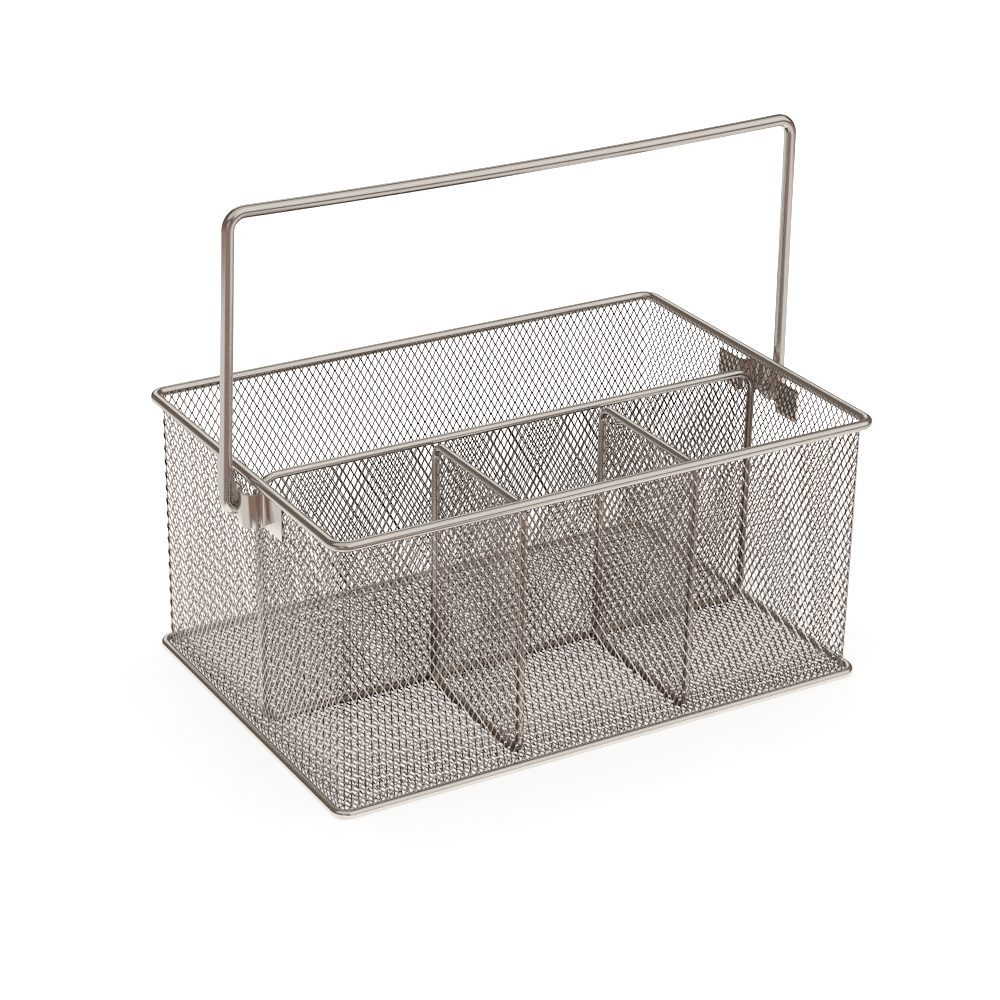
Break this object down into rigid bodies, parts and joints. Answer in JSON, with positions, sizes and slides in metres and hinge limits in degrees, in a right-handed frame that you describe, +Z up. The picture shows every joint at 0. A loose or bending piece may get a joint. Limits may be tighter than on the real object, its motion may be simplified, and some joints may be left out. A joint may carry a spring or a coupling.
{
  "type": "utensil caddy",
  "caption": "Rectangular open-top utensil caddy of satin metal wire and diamond mesh, with mesh dividers and a swinging wire bail handle on strap brackets.",
  "frame": {"origin": "on the table under the middle of the basket", "axes": "+X along the basket's length to the right, +Y from the front pockets to the back pocket, +Z up"},
  "size_m": [0.3164, 0.203, 0.2675],
  "materials": {
    "wire": "satin nickel plate on round steel wire",
    "handle_wire": "satin nickel plate on thick round steel wire",
    "mesh": "satin nickel plate on expanded steel mesh",
    "strap": "satin nickel plate on bent steel strap"
  },
  "bodies": {
    "basket": {"top_rim_wire": "wire", "base_wire": "wire", "front_wall_mesh": "mesh", "back_wall_mesh": "mesh", "left_wall_mesh": "mesh", "right_wall_mesh": "mesh", "floor_mesh": "mesh", "long_divider_wire": "wire", "long_divider_mesh": "mesh", "left_cross_divider_wire": "wire", "left_cross_divider_mesh": "mesh", "right_cross_divider_wire": "wire", "right_cross_divider_mesh": "mesh", "left_handle_bracket": "strap", "right_handle_bracket": "strap"},
    "handle": {"handle_bail": "handle_wire"}
  },
  "joints": [
    {"name": "handle_swing", "type": "hinge", "parent": "basket", "child": "handle", "pos_m": [0, -0.0065, 0.121], "axis": [1, 0, 0], "range_deg": [-130, 136]}
  ]
}
